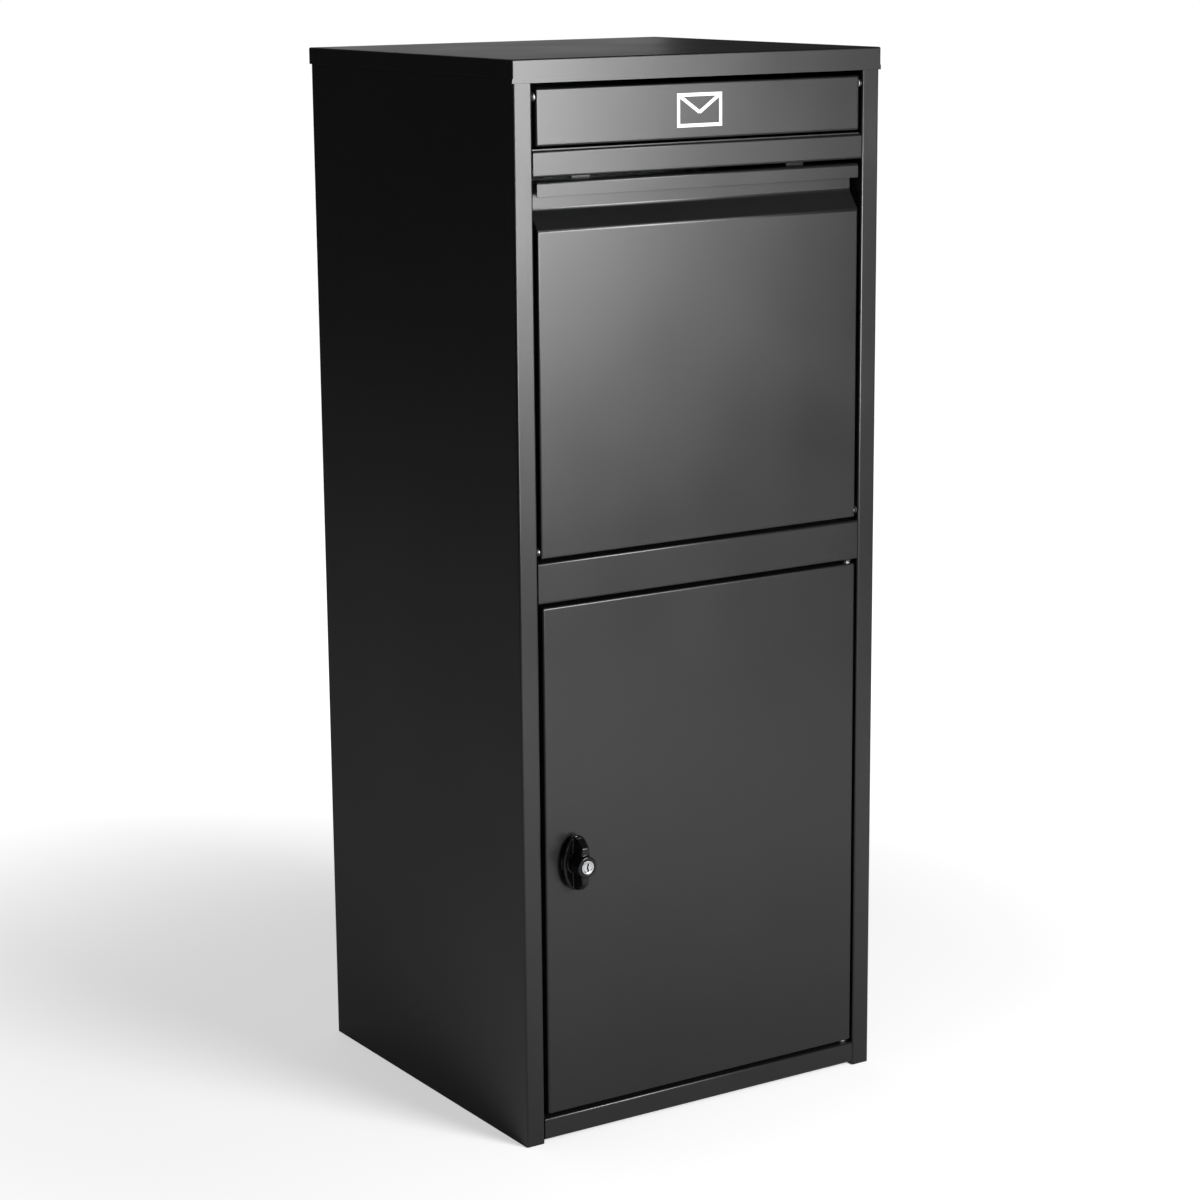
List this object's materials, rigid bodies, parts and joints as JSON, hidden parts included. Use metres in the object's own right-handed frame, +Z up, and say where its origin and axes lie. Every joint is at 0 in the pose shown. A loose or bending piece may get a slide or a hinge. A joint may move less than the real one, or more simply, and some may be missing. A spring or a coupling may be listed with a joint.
{
  "type": "parcel drop box",
  "caption": "Free-standing sheet-steel parcel and mail box with an inward letter flap, a tilting parcel hopper over an anti-fishing baffle, and a lower collection door with a key lock.",
  "frame": {"origin": "on the floor, midway across the base plate and midway between the front and back of the cap", "axes": "+X to the right of someone facing the front, +Y from the front to the back, +Z up"},
  "size_m": [0.41, 0.4106, 1.02],
  "materials": {
    "powder_coat": "satin anthracite powder coat with a fine texture",
    "galvanised": "galvanised sheet steel",
    "bright_zinc": "bright zinc-plated steel",
    "nylon": "black nylon",
    "rubber": "black rubber",
    "knob_plastic": "glossy black plastic",
    "plug_chrome": "polished chrome"
  },
  "bodies": {
    "cabinet": {"top_cap": "powder_coat", "letter_chute": "powder_coat", "hopper_stop_bracket_left": "powder_coat", "hopper_stop_bracket_right": "powder_coat", "left_side_panel": "powder_coat", "right_side_panel": "powder_coat", "back_panel": "powder_coat", "base_plate": "powder_coat", "letter_rail": "powder_coat", "middle_rail": "powder_coat", "bottom_rail": "powder_coat", "weather_bar": "powder_coat", "door_stop_strip": "powder_coat", "cap_rivet_left": "powder_coat", "cap_rivet_right": "powder_coat", "anti_fishing_baffle": "galvanised", "back_rivet_left_1": "bright_zinc", "back_rivet_left_2": "bright_zinc", "back_rivet_left_3": "bright_zinc", "back_rivet_left_4": "bright_zinc", "back_rivet_right_1": "bright_zinc", "back_rivet_right_2": "bright_zinc", "back_rivet_right_3": "bright_zinc", "back_rivet_right_4": "bright_zinc", "flap_bush_left": "nylon", "flap_bush_right": "nylon", "hopper_bush_left": "nylon", "hopper_bush_right": "nylon", "door_bush_top": "nylon", "door_bush_bottom": "nylon", "hopper_bumper_left": "rubber", "hopper_bumper_right": "rubber"},
    "letter_flap": {"letter_flap": "powder_coat", "flap_pin_left": "bright_zinc", "flap_pin_right": "bright_zinc"},
    "hopper": {"hopper_front": "powder_coat", "hopper_side_left": "galvanised", "hopper_side_right": "galvanised", "hopper_floor": "galvanised", "hopper_pin_left": "bright_zinc", "hopper_pin_right": "bright_zinc"},
    "door": {"door_panel": "powder_coat", "door_stiffener_upper": "powder_coat", "door_stiffener_lower": "powder_coat", "door_pin_top": "bright_zinc", "door_pin_bottom": "bright_zinc", "lock_gasket": "rubber", "lock_housing": "bright_zinc", "lock_nut": "bright_zinc"},
    "lock_knob": {"lock_knob": "knob_plastic", "lock_spindle": "bright_zinc", "lock_cam": "bright_zinc", "cam_screw": "bright_zinc"},
    "lock_plug": {"lock_plug": "plug_chrome"}
  },
  "joints": [
    {"name": "letter_flap_hinge", "type": "hinge", "parent": "cabinet", "child": "letter_flap", "pos_m": [0, -0.1866, 0.9865], "axis": [1, 0, 0], "range_deg": [0, 70]},
    {"name": "hopper_hinge", "type": "hinge", "parent": "cabinet", "child": "hopper", "pos_m": [0, -0.185, 0.5745], "axis": [1, 0, 0], "range_deg": [0, 45]},
    {"name": "door_hinge", "type": "hinge", "parent": "cabinet", "child": "door", "pos_m": [0.1743, -0.1853, 0.0283], "axis": [0, 0, 1], "range_deg": [0, 110]},
    {"name": "knob_turn", "type": "hinge", "parent": "door", "child": "lock_knob", "pos_m": [-0.149, -0.1943, 0.27535], "axis": [0, 1, 0], "range_deg": [0, 90]},
    {"name": "plug_turn", "type": "hinge", "parent": "lock_knob", "child": "lock_plug", "pos_m": [-0.149, -0.2167, 0.27535], "axis": [0, 1, 0], "range_deg": [0, 90]}
  ]
}
